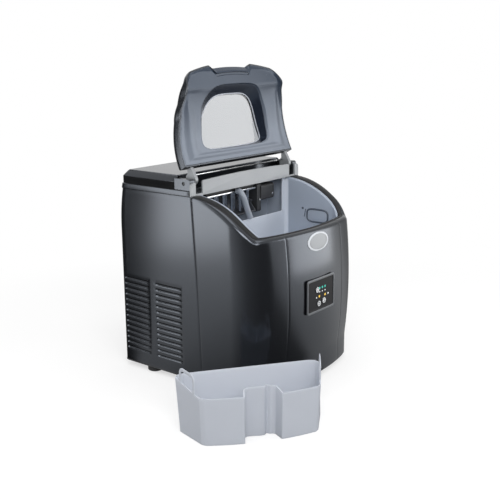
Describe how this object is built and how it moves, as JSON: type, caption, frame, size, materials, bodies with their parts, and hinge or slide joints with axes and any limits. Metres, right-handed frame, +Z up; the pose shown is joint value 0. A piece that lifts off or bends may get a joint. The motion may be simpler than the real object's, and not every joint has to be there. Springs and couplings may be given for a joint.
{
  "type": "ice maker",
  "caption": "Countertop ice maker with an arched windowed lid standing open, curved front with a small control panel, louvred sides, and a loop-handled ice basket beside it.",
  "frame": {"origin": "middle of the footprint of the machine and its basket together, on the surface they stand on", "axes": "+Z up, -Y towards the front with the control panel, +X to the right seen from the front"},
  "size_m": [0.5516, 0.5332, 0.6415],
  "materials": {
    "dark_metal": "black paint on pressed sheet",
    "liner_grey": "cool grey smooth moulding",
    "black_trim": "fine matt black moulding",
    "fin_metal": "thin rolled fins",
    "silver_plastic": "silver-grey satin moulding",
    "board_green": "coated circuit board",
    "control_glass": "polished black window",
    "black_housing": "satin black moulding",
    "steel": "plain bright steel",
    "white_plastic": "plain white moulding",
    "motor_dark": "dark technical moulding",
    "rubber": "soft matt rubber",
    "basket_grey": "pale cool grey, slightly translucent looking",
    "window_clear": "clear moulded pane"
  },
  "bodies": {
    "machine": {"base_pan": "dark_metal", "bin_liner": "liner_grey", "compressor": "dark_metal", "condenser": "fin_metal", "control_bezel": "silver_plastic", "control_board": "board_green", "control_window": "control_glass", "deck_plate": "black_housing", "evaporator": "steel", "fan_motor": "motor_dark", "fan_shroud": "motor_dark", "foot_front_left": "rubber", "foot_front_right": "rubber", "foot_rear_left": "rubber", "foot_rear_right": "rubber", "freezer_housing": "liner_grey", "front_housing_left": "black_housing", "front_housing_right": "black_housing", "front_panel": "black_housing", "hinge_cover": "silver_plastic", "hinge_pin_left": "steel", "hinge_pin_right": "steel", "opening_rim": "black_trim", "pivot_block_left": "black_housing", "pivot_block_right": "black_housing", "power_inlet": "motor_dark", "rear_panel": "black_housing", "sensor_cover": "black_trim", "side_panel_left": "black_housing", "side_panel_right": "black_housing", "top_surround": "black_housing", "tray_bearing": "motor_dark", "tray_motor": "motor_dark", "water_hose": "white_plastic", "water_pump": "motor_dark", "water_tank": "liner_grey"},
    "lid": {"lid_shell": "black_housing", "lid_liner": "liner_grey", "lid_window": "window_clear", "window_bezel": "black_trim", "hinge_arm_left": "silver_plastic", "hinge_arm_right": "silver_plastic", "hinge_rod": "steel"},
    "power_button": {"power_button": "black_trim"},
    "select_button": {"select_button": "black_trim"},
    "clean_button": {"clean_button": "black_trim"},
    "water_tray": {"water_tray": "white_plastic"},
    "fan": {"fan_blades": "white_plastic"},
    "ice_basket": {"ice_basket": "basket_grey"}
  },
  "joints": [
    {"name": "lid_hinge", "type": "hinge", "parent": "machine", "child": "lid", "pos_m": [0.09584, 0.0731, 0.417], "axis": [1, 0, 0], "range_deg": [0, 121]},
    {"name": "power_press", "type": "slide", "parent": "machine", "child": "power_button", "axis": [0, 1, 0], "range_m": [0, 0.0012], "stiffness_N_per_m": 300},
    {"name": "select_press", "type": "slide", "parent": "machine", "child": "select_button", "axis": [0, 1, 0], "range_m": [0, 0.0012], "stiffness_N_per_m": 300},
    {"name": "clean_press", "type": "slide", "parent": "machine", "child": "clean_button", "axis": [0, 1, 0], "range_m": [0, 0.0012], "stiffness_N_per_m": 300},
    {"name": "tray_tip", "type": "hinge", "parent": "machine", "child": "water_tray", "pos_m": [0.09584, 0.0861, 0.35], "axis": [1, 0, 0], "range_deg": [-52, 0]},
    {"name": "fan_spin", "type": "hinge", "parent": "machine", "child": "fan", "pos_m": [0.03385, 0.2491, 0.15], "axis": [0, 1, 0], "continuous": true},
    {"name": "basket_lift", "type": "slide", "parent": "machine", "child": "ice_basket", "axis": [0, 0, 1], "range_m": [0, 0.25]}
  ]
}
